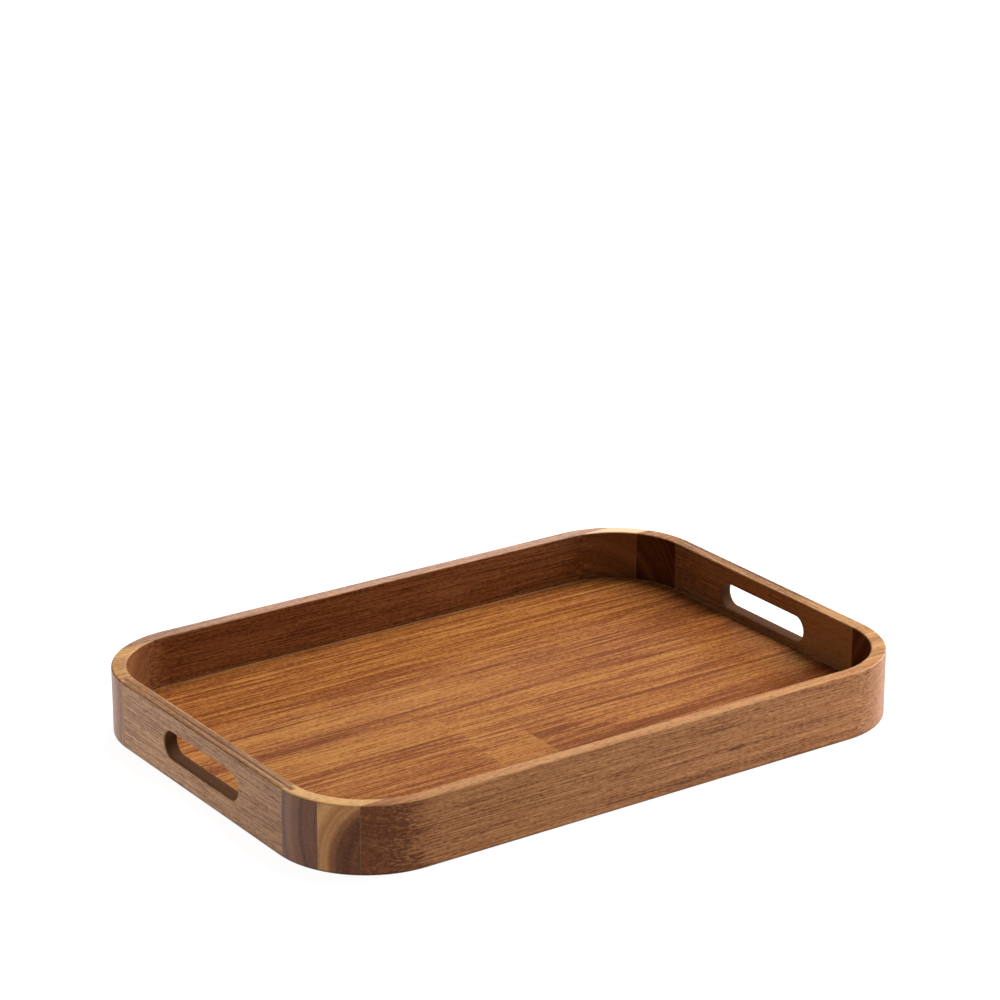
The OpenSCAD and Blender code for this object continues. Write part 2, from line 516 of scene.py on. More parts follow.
def end_rail_mesh(sizes, front, back, slot_middle):
    """Right end rail, with its hand slot and a tongue on each end. front and back are their joints."""
    probe = HandSlot(sizes, slot_middle, 0, 0)
    rows = [probe.row_height(j) for j in range(SLOT_ARC + 1)]
    above = between(sizes.slot_centre + probe.radius, RIM_H - sizes.ease, 0.5)
    section = RimSection(sizes, rows + [above])
    beside_slot = probe.reach + probe.radius + SLOT_MARGIN
    plain = [TURN_Y, *END_DIVISIONS]
    stations = [-y for y in (front.tongue, front.shoulder, *plain)] + [slot_middle - beside_slot]
    slot = HandSlot(sizes, slot_middle, len(stations), section.floor_row + 1)
    stations += [slot.long_way(k, slot.radius)[0] for k in range(slot.k0, slot.k1 + 1)]
    stations += [slot_middle + beside_slot, *reversed(plain), back.shoulder, back.tongue]
    last = len(stations) - 1
    first_tongue, last_tongue = section.tongue

    def place(i, j, k):
        if slot.touches(j, k):
            depth, y, height = slot.place(i, section.last_depth, section.depths[i], j, k)
            return HALF_L - depth, y, height
        depth, height = section.place(i, j)
        y = stations[k]
        beyond = abs(y) - TURN_Y
        if beyond <= 0 or first_tongue <= i <= last_tongue:
            return HALF_L - depth, y, height
        radius = CORNER_R - depth
        return TURN_X + math.sqrt(radius**2 - beyond**2), y, height

    def filled(i, j, k):
        in_tongue = first_tongue <= i < last_tongue
        if k in (0, last - 1) and not in_tongue:
            return False
        return section.is_wall(i, j) and not slot.holds(j, k)

    def wear_and_highlight(i, j, k):
        if slot.touches(j, k):
            from_face = min(i, section.last_depth - i)
            return 0.0 if from_face > EASE_STEPS else 1 - abs(from_face / EASE_STEPS - 0.5) * 2
        return section.wear_and_highlight(i, j)

    def hollow_at(i, j, k):
        from_face = min(i, section.last_depth - i)
        return min(from_face / EASE_STEPS, 1.0) if slot.touches(j, k) else 0.0

    cells = (section.last_depth, section.last_height, last)
    return lattice_skin("end_rail", cells, filled, place, wear_and_highlight, hollow_at)


# Faces round a corner of the floor, and the length of one along a board
FLOOR_TURN_STEPS = 12
BOARD_STEP = 0.03


def floor_reach(y):
    """Half the floor's length at that y, round its corners."""
    beyond = abs(y) - (FLOOR_HALF_W - FLOOR_R)
    if beyond <= 0:
        return FLOOR_HALF_L
    return FLOOR_HALF_L - FLOOR_R + math.sqrt(max(FLOOR_R**2 - beyond**2, 0.0))


def floor_board_mesh(node):
    """One floor board, cut to the floor's outline where it reaches it."""
    low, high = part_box(node)
    turn_start = FLOOR_HALF_W - FLOOR_R
    widths = {low.y, high.y}
    for step in range(1, FLOOR_TURN_STEPS):
        turn = math.radians(step * 90 / FLOOR_TURN_STEPS)
        y = turn_start + FLOOR_R * math.sin(turn)
        for side in (-y, y):
            if low.y < side < high.y:
                widths.add(side)
    for y in (-turn_start, turn_start, (low.y + high.y) / 2):
        if low.y < y < high.y:
            widths.add(y)
    widths = sorted(widths)
    length_steps = max(2, round((high.x - low.x) / BOARD_STEP))
    longest = max(floor_reach(low.y), floor_reach(high.y))
    reaches_left = low.x < 0 and abs(low.x + longest) < MM
    reaches_right = high.x > 0 and abs(high.x - longest) < MM

    def place(i, j, k):
        y = widths[j]
        left = -floor_reach(y) if reaches_left else low.x
        right = floor_reach(y) if reaches_right else high.x
        return between(left, right, i / length_steps), y, (low.z, high.z)[k]

    cells = (length_steps, len(widths) - 1, 1)
    return lattice_skin(node, cells, lambda i, j, k: True, place)


# ---- Node trees ----


class Tree:
    """Short ways to add nodes to a tree and link them."""

    def __init__(self, node_tree):
        self.tree = node_tree
        self.across = 0

    def add(self, kind, **settings):
        node = self.tree.nodes.new(kind)
        self.across += 180
        node.location = (self.across, 0)
        for name, value in settings.items():
            setattr(node, name, value)
        return node

    def feed(self, socket, value):
        if isinstance(value, bpy.types.NodeSocket):
            self.tree.links.new(value, socket)
        else:
            socket.default_value = value

    def math(self, operation, first, second=0.0, clamp=False):
        node = self.add("ShaderNodeMath", operation=operation, use_clamp=clamp)
        self.feed(node.inputs[0], first)
        self.feed(node.inputs[1], second)
        return node.outputs[0]

    def plus(self, first, second, clamp=False):
        return self.math("ADD", first, second, clamp)

    def minus(self, first, second):
        return self.math("SUBTRACT", first, second)

    def times(self, first, second):
        return self.math("MULTIPLY", first, second)

    def swing(self, values, amount):
        """Values between 0 and 1, made to swing about 0 by that amount in all."""
        return self.times(self.minus(values, 0.5), amount)

    def reach(self, across, deep):
        """Distance of a point that lies across and deep from a centre."""
        return self.math("SQRT", self.plus(self.times(across, across), self.times(deep, deep)))

    def vector(self, x, y, z):
        node = self.add("ShaderNodeCombineXYZ")
        for socket, value in zip(node.inputs, (x, y, z)):
            self.feed(socket, value)
        return node.outputs[0]

    def split(self, vector):
        node = self.add("ShaderNodeSeparateXYZ")
        self.feed(node.inputs[0], vector)
        return node.outputs

    def noise(self, vector, detail, roughness=0.5, distortion=0.0):
        node = self.add("ShaderNodeTexNoise")
        self.feed(node.inputs["Vector"], vector)
        node.inputs["Scale"].default_value = 1.0
        node.inputs["Detail"].default_value = detail
        node.inputs["Roughness"].default_value = roughness
        node.inputs["Distortion"].default_value = distortion
        return node.outputs[0]

    def remap(self, value, low, high, to_low=0.0, to_high=1.0, smooth=False):
        kind = "SMOOTHSTEP" if smooth else "LINEAR"
        node = self.add("ShaderNodeMapRange", interpolation_type=kind)
        for socket, number in zip(node.inputs, (value, low, high, to_low, to_high)):
            self.feed(socket, number)
        return node.outputs[0]

    def mix(self, share, first, second, blend="MIX"):
        node = self.add("ShaderNodeMix", data_type="RGBA", blend_type=blend)
        self.feed(node.inputs[0], share)
        self.feed(node.inputs[6], first)
        self.feed(node.inputs[7], second)
        return node.outputs[2]

    def group(self, name, **values):
        """A shared effect placed here with its own values; returns its output."""
        node = self.add("ShaderNodeGroup", node_tree=EFFECTS[name]())
        for socket_name, value in values.items():
            self.feed(node.inputs[socket_name.replace("_", " ").title()], value)
        return node.outputs[0]


def new_effect(name, inputs, output, builder):
    """Makes a shader node group once. inputs holds (name, kind, default) rows."""
    if name in bpy.data.node_groups:
        return bpy.data.node_groups[name]
    made = bpy.data.node_groups.new(name, "ShaderNodeTree")
    for socket_name, kind, default in inputs:
        socket = made.interface.new_socket(name=socket_name, in_out="INPUT", socket_type=kind)
        if default is not None:
            socket.default_value = default
    made.interface.new_socket(name=output, in_out="OUTPUT", socket_type="NodeSocketFloat")
    tree = Tree(made)
    given = tree.add("NodeGroupInput")
    sockets = {socket.name: socket for socket in given.outputs if socket.name}
    result = builder(tree, sockets)
    end = tree.add("NodeGroupOutput")
    tree.feed(end.inputs[0], result)
    return made


NUMBER = "NodeSocketFloat"
PLACE = "NodeSocketVector"


def growth_rings():
    """Tone of the growth rings: uneven bands round a pith that lies to one side of the board."""

    def build(tree, given):
        x, y, z = tree.split(given["Vector"])
        seed = given["Seed"]
        slow = tree.vector(tree.times(x, 7.0), tree.times(y, 14.0), seed)
        sway = tree.swing(tree.noise(slow, 1.0), given["Sway"])
        across = tree.plus(tree.minus(y, given["Pith Across"]), sway)
        deep = tree.minus(z, given["Pith Deep"])
        rings = tree.math("DIVIDE", tree.reach(across, deep), given["Ring Width"])
        bands = tree.vector(tree.times(x, 2.5), rings, seed)
        tone = tree.noise(bands, 4.0, 0.62)
        return tree.remap(tone, 0.28, 0.72)

    rows = [
        ("Vector", PLACE, None),
        ("Pith Across", NUMBER, 0.0),
        ("Pith Deep", NUMBER, -0.06),
        ("Sway", NUMBER, 0.004),
        ("Ring Width", NUMBER, 0.004),
        ("Seed", NUMBER, 0.0),
    ]
    return new_effect("Growth Rings", rows, "Tone", build)


def stretched(tree, given):
    """Place in the wood, counted in lengths along the grain and widths across it."""
    x, y, z = tree.split(given["Vector"])
    width = given["Width"]
    return tree.vector(
        tree.math("DIVIDE", x, given["Length"]),
        tree.plus(tree.math("DIVIDE", y, width), given["Seed"]),
        tree.math("DIVIDE", z, width),
    )


def fibre_lines():
    """Fine lines along the grain."""

    def build(tree, given):
        return tree.remap(tree.noise(stretched(tree, given), 2.0, 0.6), 0.3, 0.7)

    rows = [
        ("Vector", PLACE, None),
        ("Length", NUMBER, 0.05),
        ("Width", NUMBER, 0.0012),
        ("Seed", NUMBER, 0.0),
    ]
    return new_effect("Fibre Lines", rows, "Lines", build)


def pores():
    """Short open pores: dark dashes along the grain, in loose drifts."""

    def build(tree, given):
        x, y, _ = tree.split(given["Vector"])
        dash = tree.noise(stretched(tree, given), 1.0, 0.5)
        patches = tree.vector(tree.times(x, 18.0), tree.times(y, 120.0), given["Seed"])
        level = tree.plus(dash, tree.swing(tree.noise(patches, 2.0), 0.2))
        return tree.remap(level, 0.55, 0.68, smooth=True)

    rows = [
        ("Vector", PLACE, None),
        ("Length", NUMBER, 0.005),
        ("Width", NUMBER, 0.0005),
        ("Seed", NUMBER, 0.0),
    ]
    return new_effect("Pores", rows, "Mask", build)


def streak_band():
    """One long streak: where it lies across the board, how wide it is, and where it starts and ends."""

    def build(tree, given):
        x, y, _ = tree.split(given["Vector"])
        seed, fade = given["Seed"], given["Fade"]
        slow = tree.vector(tree.times(x, 7.0), seed, 0.0)
        wander = tree.swing(tree.noise(slow, 2.0), given["Wander"])
        centre = tree.plus(given["Across"], tree.times(x, given["Slope"]))
        off = tree.math("ABSOLUTE", tree.minus(y, tree.plus(centre, wander)))
        along, across = tree.times(x, 6.0), tree.times(y, 500.0)
        frayed = tree.remap(tree.noise(tree.vector(along, across, seed), 3.0), 0.3, 0.7, 0.5, 1.4)
        off = tree.math("DIVIDE", off, tree.times(given["Half Width"], frayed))
        body = tree.remap(off, 0.35, 1.4, 1.0, 0.0, smooth=True)
        ends = []
        for socket_name, at_low, at_high in (("From", 0.0, 1.0), ("To", 1.0, 0.0)):
            low = tree.minus(given[socket_name], fade)
            high = tree.plus(given[socket_name], fade)
            ends.append(tree.remap(x, low, high, at_low, at_high, smooth=True))
        return tree.times(body, tree.times(*ends))

    rows = [
        ("Vector", PLACE, None),
        ("Across", NUMBER, 0.0),
        ("Half Width", NUMBER, 0.004),
        ("Slope", NUMBER, 0.0),
        ("From", NUMBER, -1.0),
        ("To", NUMBER, 1.0),
        ("Fade", NUMBER, 0.03),
        ("Wander", NUMBER, 0.002),
        ("Seed", NUMBER, 0.0),
    ]
    return new_effect("Streak Band", rows, "Mask", build)


def heartwood():
    """Heartwood inside sapwood: everything nearer to the pith than a radius."""

    def build(tree, given):
        x, y, z = tree.split(given["Vector"])
        across = tree.minus(y, given["Pith Across"])
        deep = tree.minus(z, given["Pith Deep"])
        uneven = tree.vector(tree.times(x, 30.0), tree.times(y, 60.0), z)
        ragged = tree.swing(tree.noise(uneven, 2.0), 0.006)
        beyond = tree.plus(tree.minus(tree.reach(across, deep), given["Radius"]), ragged)
        return tree.remap(beyond, -0.005, 0.004, 1.0, 0.0, smooth=True)

    rows = [
        ("Vector", PLACE, None),
        ("Pith Across", NUMBER, 0.0),
        ("Pith Deep", NUMBER, 0.0),
        ("Radius", NUMBER, 0.05),
    ]
    return new_effect("Heartwood", rows, "Mask", build)


def end_grain():
    """How squarely the surface cuts across the grain, from 0 along it to 1 on end grain."""

    def build(tree, given):
        normal = tree.add("ShaderNodeTexCoord").outputs["Normal"]
        turned = tree.add("ShaderNodeVectorMath", operation="DOT_PRODUCT")
        tree.feed(turned.inputs[0], normal)
        tree.feed(turned.inputs[1], given["Grain"])
        return tree.remap(tree.math("ABSOLUTE", turned.outputs["Value"]), 0.1, 0.65, smooth=True)

    return new_effect("End Grain", [("Grain", PLACE, (1.0, 0.0, 0.0))], "Mask", build)


def worn_edge():
    """Eased edges, rubbed unevenly, and paler as a painted highlight where they catch the light."""

    def build(tree, given):
        edge = tree.add("ShaderNodeAttribute", attribute_name="arris").outputs["Fac"]
        patch = tree.noise(given["Vector"], 2.0)
        return tree.times(edge, tree.remap(patch, 0.3, 0.7, 0.35, 1.0))

    return new_effect("Worn Edge", [("Vector", PLACE, None)], "Mask", build)


def floor_seam():
    """A thin pale line where the floor meets the rim: a painted highlight along the seam."""

    def build(tree, given):
        x, y, _ = tree.split(given["Vector"])
        beyond = []
        for value, straight in ((x, given["Straight X"]), (y, given["Straight Y"])):
            beyond.append(tree.minus(tree.math("ABSOLUTE", value), straight))
        outside = [tree.math("MAXIMUM", value, 0.0) for value in beyond]
        off = tree.math("ABSOLUTE", tree.minus(tree.reach(*outside), given["Radius"]))
        return tree.remap(off, 0.0004, 0.0014, 1.0, 0.0, smooth=True)

    rows = [
        ("Vector", PLACE, None),
        ("Straight X", NUMBER, 0.1),
        ("Straight Y", NUMBER, 0.1),
        ("Radius", NUMBER, 0.05),
    ]
    return new_effect("Floor Seam", rows, "Mask", build)


def hollow():
    """How deep a point lies inside a hand slot, where the wood gets painted shade."""

    def build(tree, given):
        return tree.add("ShaderNodeAttribute", attribute_name="hollow").outputs["Fac"]

    return new_effect("Hollow", [], "Mask", build)


def foot_edge():
    """The lowest edge, darkened by painted shadow where the tray meets the table."""

    def build(tree, given):
        return tree.remap(tree.split(given["Vector"])[2], given["Height"], 0.0, smooth=True)

    rows = [("Vector", PLACE, None), ("Height", NUMBER, 0.001)]
    return new_effect("Foot Edge", rows, "Mask", build)


def glue_line():
    """The thin line of glue in the joints that lie at one distance from the tray's middle, along y."""

    def build(tree, given):
        y = tree.split(given["Vector"])[1]
        off = tree.math("ABSOLUTE", tree.minus(tree.math("ABSOLUTE", y), given["Joint"]))
        return tree.remap(off, 0.0, given["Half Width"], 1.0, 0.0, smooth=True)

    rows = [
        ("Vector", PLACE, None),
        ("Joint", NUMBER, 0.1),
        ("Half Width", NUMBER, 0.0003),
    ]
    return new_effect("Glue Line", rows, "Mask", build)


EFFECTS = {
    "rings": growth_rings,
    "fibres": fibre_lines,
    "pores": pores,
    "streak": streak_band,
    "end_grain": end_grain,
    "worn_edge": worn_edge,
    "glue_line": glue_line,
    "heartwood": heartwood,
    "floor_seam": floor_seam,
    "hollow": hollow,
    "foot_edge": foot_edge,
}


# ---- Wood ----

# A streak of a board, in millimetres from the tray's middle.
# change is how much paler (+) or darker (-) it is; slope is how far it climbs across the board.
Streak = namedtuple(
    "Streak", "across half_width start end change slope fade wander", defaults=(0.0, 20.0, 2.0)
)

# The edge of the heartwood in a piece: the pith's place across and into it, in millimetres.
Heart = namedtuple("Heart", "across deep radius change")

# How one piece was cut. axes names the piece's own axes that run along, across and into its grain.
# lift and end_change make the whole piece and its end grain paler or darker; the top's change paints
# light and shade, making the top faces paler or darker as the light falls on them.
Look = namedtuple(
    "Look",
    "wood axes pith ring_width rings fibres pores lift seed streaks "
    "end_change top_change glue sway heart coat",
    defaults=(0.0, 0.0, None, 4.0, None, 0.0),
)

# How strongly each joint's glue line shows on a block
GLUE = {"rail": 0.22, "block": 0.4, "shoulder": 0.25}

# Specular level of each wood's finish
SHEEN = {"floor": 0.04, "rail": 0.14, "end": 0.2, "block": 0.18}

# Length and thickness of the open pores of each wood, in millimetres
PORE_SIZES = {
    "floor": (5.0, 0.7),
    "rail": (7.0, 0.5),
    "end": (8.0, 0.45),
    "block": (5.0, 0.7),
}

# Lines along the grain: their length and thickness in metres, what is added to the piece's seed, and
# how strongly they show
GRAIN_LINES = ((0.09, 0.0014, 0, 1.2), (0.04, 0.001, 5, 1.1), (0.0035, 0.0014, 9, 0.9))

# How much of the fibres' and the pores' strength is left on end grain
END_FIBRES = 0.25
END_PORES = 0.3

# How strongly the marks cover the wood: the edges' wear and painted highlight, the painted contact
# shadow on the lowest edge, the painted shade inside the hand slots and the painted highlight along the
# floor's seam
EDGE_WEAR_AND_HIGHLIGHT = 0.25
CONTACT_SHADOW_STRENGTH = 0.95
SLOT_SHADE = 0.95
SEAM_HIGHLIGHT = 0.35

# Colours of the open pores and of the painted contact shadow on the lowest edge, as shares of the wood's
# darkest one
PORE_TINT = 0.45
CONTACT_SHADOW_TINT = 0.1

# How far the fibres, the pores and the sawn slots change the roughness
FIBRE_ROUGHNESS = 0.06
PORE_ROUGHNESS = 0.25
SLOT_ROUGHNESS = 0.5

GRAIN_ALONG = {"x": (1.0, 0.0, 0.0), "y": (0.0, 1.0, 0.0)}


def wood_tone(tree, grain, look):
    """Tone of the wood, from 0 at its darkest to 1 at its palest, and the fine lines in it."""
    rings = tree.group(
        "rings",
        vector=grain,
        pith_across=look.pith[0] * MM,
        pith_deep=look.pith[1] * MM,
        sway=look.sway * MM,
        ring_width=look.ring_width * MM,
        seed=look.seed,
    )
    lines = [
        tree.group("fibres", vector=grain, length=length, width=width, seed=look.seed + shift)
        for length, width, shift, _ in GRAIN_LINES
    ]

    tone = tree.math("MULTIPLY_ADD", rings, look.rings)
    tone.node.inputs[2].default_value = 0.5 + look.lift - look.rings / 2
    along = GRAIN_ALONG[look.axes[0]]
    facing = tree.group("end_grain", grain=along)
    calm = tree.remap(facing, 0.0, 1.0, look.fibres, END_FIBRES * look.fibres)
    for values, (_, _, _, strength) in zip(lines, GRAIN_LINES):
        tone = tree.plus(tone, tree.times(tree.swing(values, strength), calm))
    for number, streak in enumerate(look.streaks):
        band = tree.group(
            "streak",
            vector=grain,
            across=streak.across * MM,
            half_width=streak.half_width * MM,
            slope=streak.slope,
            fade=streak.fade * MM,
            wander=streak.wander * MM,
            seed=look.seed + number,
            **{"from": streak.start * MM, "to": streak.end * MM},
        )
        tone = tree.plus(tone, tree.times(band, streak.change))
    if look.heart:
        heart = tree.group(
            "heartwood",
            vector=grain,
            pith_across=look.heart.across * MM,
            pith_deep=look.heart.deep * MM,
            radius=look.heart.radius * MM,
        )
        tone = tree.plus(tone, tree.times(heart, look.heart.change))
    # End grain paler or darker, and painted light and shade on the top faces
    for direction, change in ((along, look.end_change), ((0.0, 0.0, 1.0), look.top_change)):
        if change:
            facing = tree.group("end_grain", grain=direction)
            tone = tree.plus(tone, tree.times(facing, change))
    fibres, hairs, _ = lines
    return tone, fibres, hairs


def toned_wood(tree, tone, dark, mid, pale):
    """Colour of the bare wood at each tone."""
    ramp = tree.add("ShaderNodeValToRGB")
    tree.feed(ramp.inputs[0], tone)
    stops = ramp.color_ramp.elements
    stops[0].color = (*dark, 1)
    stops[1].color = (*pale, 1)
    stops.new(0.5).color = (*mid, 1)
    return ramp.outputs["Color"]


def open_pores(tree, grain, look):
    """Mask of the open pores, fainter on end grain."""
    length, width = PORE_SIZES[look.wood]
    pore = tree.group("pores", vector=grain, length=length * MM, width=width * MM, seed=look.seed)
    facing = tree.group("end_grain", grain=GRAIN_ALONG[look.axes[0]])
    return tree.times(pore, tree.remap(facing, 0.0, 1.0, look.pores, END_PORES * look.pores))


def oiled_surface(tree, look, colour, rough, relief):
    """The oiled finish over the wood."""
    bump = tree.add("ShaderNodeBump")
    bump.inputs["Strength"].default_value = 0.35
    bump.inputs["Distance"].default_value = 0.0002
    tree.feed(bump.inputs["Height"], relief)
    shader = tree.add("ShaderNodeBsdfPrincipled")
    tree.feed(shader.inputs["Base Color"], colour)
    tree.feed(shader.inputs["Roughness"], rough)
    tree.feed(shader.inputs["Normal"], bump.outputs["Normal"])
    shader.inputs["IOR"].default_value = 1.46
    shader.inputs["Specular IOR Level"].default_value = SHEEN[look.wood]
    shader.inputs["Coat Weight"].default_value = look.coat
    shader.inputs["Coat Roughness"].default_value = 0.25
    output = tree.add("ShaderNodeOutputMaterial")
    tree.feed(output.inputs["Surface"], shader.outputs["BSDF"])


def wood_material(node, look, joints=None):
    """The oiled wood of one piece."""
    woods = bpy.context.scene.tray_woods
    sizes = bpy.context.scene.tray_sizes
    dark, mid, pale = (getattr(woods, f"{look.wood}_{tone}") for tone in ("dark", "mid", "pale"))
    material = bpy.data.materials.new(node + "_" + look.wood)
    material.use_nodes = True
    material.node_tree.nodes.clear()
    tree = Tree(material.node_tree)

    place = tree.add("ShaderNodeTexCoord").outputs["Object"]
    axis = dict(zip("xyz", tree.split(place)))
    grain = tree.vector(*(axis[name] for name in look.axes))
    tone, fibres, hairs = wood_tone(tree, grain, look)
    pore = open_pores(tree, grain, look)
    rough = tree.remap(
        fibres, 0.0, 1.0, woods.roughness + FIBRE_ROUGHNESS, woods.roughness - FIBRE_ROUGHNESS
    )
    rough = tree.plus(rough, tree.times(pore, PORE_ROUGHNESS), clamp=True)

    # What lies over the bare wood, from the first to the last: its mask, strength and colour
    # Painted contact shadow: the lowest edge darkened where the tray stands on the table
    foot = tree.group("foot_edge", vector=place, height=2 * sizes.ease)
    marks = [
        (pore, 1.0, [PORE_TINT * c for c in dark]),
        # Eased edges: real wear, and a painted highlight where they catch the light
        (tree.group("worn_edge", vector=place), EDGE_WEAR_AND_HIGHLIGHT, pale),
        (foot, CONTACT_SHADOW_STRENGTH, [CONTACT_SHADOW_TINT * c for c in dark]),
    ]
    for name, strength in (look.glue or {}).items():
        line = tree.group("glue_line", vector=place, joint=getattr(joints, name))
        marks.append((line, strength, woods.glue))
    if look.wood == "end":
        # Painted shade inside the hand slots, where little light reaches
        inside = tree.group("hollow")
        marks.append((inside, SLOT_SHADE, woods.slot))
        rough = tree.plus(rough, tree.times(inside, SLOT_ROUGHNESS), clamp=True)
    if look.wood == "floor":
        # Painted highlight: a thin pale line in the glue colour where the floor meets the rim
        inner_radius = CORNER_R - sizes.wall
        seam = tree.group(
            "floor_seam", vector=place, straight_x=TURN_X, straight_y=TURN_Y, radius=inner_radius
        )
        marks.append((seam, SEAM_HIGHLIGHT, woods.glue))
    colour = toned_wood(tree, tone, dark, mid, pale)
    for mask, strength, tint in marks:
        colour = tree.mix(tree.times(mask, strength), colour, (*tint, 1))

    relief = tree.minus(tree.times(hairs, 0.35), pore)
    oiled_surface(tree, look, colour, rough, relief)
    return material


# How each wood was cut: its axes, ring width in millimetres, and how strongly its rings, fibres and
# pores show
RAIL_CUT = {"wood": "rail", "axes": "xzy", "ring_width": 3, "rings": 0.28, "fibres": 0.43, "pores": 0.7}
END_CUT = {"wood": "end", "axes": "yxz", "ring_width": 3, "rings": 0.3, "fibres": 0.42, "pores": 0.6}
BLOCK_CUT = {"wood": "block", "axes": "xyz", "ring_width": 6, "rings": 0.4, "fibres": 0.3, "pores": 0.3}
BOARD_CUT = {"wood": "floor", "axes": "xyz", "fibres": 0.8, "pores": 0.45}


def rail_look(seed, streaks, lift=0.0, **more):
    """Look of a long rail."""
    return Look(**RAIL_CUT, pith=(14, -160), lift=lift, seed=seed, streaks=streaks, **more)


def end_look(seed, streaks, pith, lift=0.0, **more):
    """Look of an end rail."""
    return Look(**END_CUT, pith=pith, lift=lift, seed=seed, streaks=streaks, **more)


def block_look(seed, pith, lift, glue, streaks=(), **more):
    """Look of a corner block. glue names the joints whose lines show on it."""
    shown = {name: GLUE[name] for name in glue}
    return Look(**BLOCK_CUT, pith=pith, lift=lift, seed=seed, streaks=streaks, glue=shown, **more)


def board_look(seed, lift, streaks, ring_width=4, rings=0.35, **more):
    """Look of a floor board."""
    cut = {**BOARD_CUT, "pith": (0, -90), "ring_width": ring_width, "rings": rings}
    return Look(**cut, lift=lift, seed=seed, streaks=streaks, **more)


RAIL_LOOKS = {
    "front_rail": rail_look(
        3.0,
        (
            Streak(25, 200, -300, -186, -0.47, fade=22),
            Streak(20, 1.0, 70, 84, -0.5, fade=3, wander=0.5),
            Streak(6, 4, -40, 160, -0.12, fade=40),
            Streak(27, 2, -170, 60, -0.12, fade=40),
        ),
        top_change=0.28,
    ),
    "back_rail": rail_look(8.0, (), -0.16, top_change=0.08, coat=0.5),
}

END_LOOKS = {
    "left_end_rail": end_look(
        13.0,
        (
            Streak(-244.6, 0.9, -120, 45, -0.6, wander=0.8),
            Streak(-247.0, 0.8, -120, 30, 0.3, wander=0.6),
            Streak(-239.6, 0.8, 0, 100, 0.35, wander=0.5),
            Streak(-242.6, 0.6, -20, 80, -0.3, wander=0.8),
        ),
        (-205, -60),
        0.06,
        top_change=-0.05,
    ),
    "right_end_rail": end_look(
        17.0,
        (
            Streak(243.0, 0.6, -120, 120, -0.4, wander=0.6),
            Streak(246.4, 0.7, -60, 120, -0.3, wander=0.6),
            Streak(242, 20, -160, -50, 0.5, fade=30),
            Streak(250, 4, -300, 300, -0.4, wander=0),
            Streak(242, 20, 80, 160, -0.15, fade=20),
        ),
        (205, -60),
        0.18,
        top_change=-0.15,
    ),
}

OUTER_BLOCK_LOOKS = {
    "front_left_outer_block": block_look(
        21.0, (-212, 7), 0.2, ("rail", "block"), top_change=0.4, heart=Heart(-212, 7, 67, -0.62)
    ),
    "front_right_outer_block": block_look(22.0, (-120, -60), 0.2, ("rail", "block"), end_change=-0.4),
    "back_left_outer_block": block_look(
        23.0, (120, 60), -0.05, ("rail", "block"), end_change=-0.15, top_change=0.35
    ),
    "back_right_outer_block": block_look(
        24.0, (220, -60), -0.06, ("block",), end_change=-0.1, top_change=0.75, coat=1.0
    ),
}

INNER_BLOCK_LOOKS = {
    "front_left_inner_block": block_look(
        31.0, (-220, 30), -0.24, ("block", "shoulder"), end_change=-0.1, top_change=0.8, coat=0.25
    ),
    "front_right_inner_block": block_look(
        32.0, (-220, -30), -0.2, ("block", "shoulder"), end_change=-0.2, top_change=0.4
    ),
    "back_left_inner_block": block_look(
        33.0, (220, 30), 0.12, ("block", "shoulder"), end_change=-0.3, top_change=0.1
    ),
    "back_right_inner_block": block_look(
        34.0, (220, -30), -0.33, ("block", "shoulder"), end_change=-0.08, top_change=0.3
    ),
}

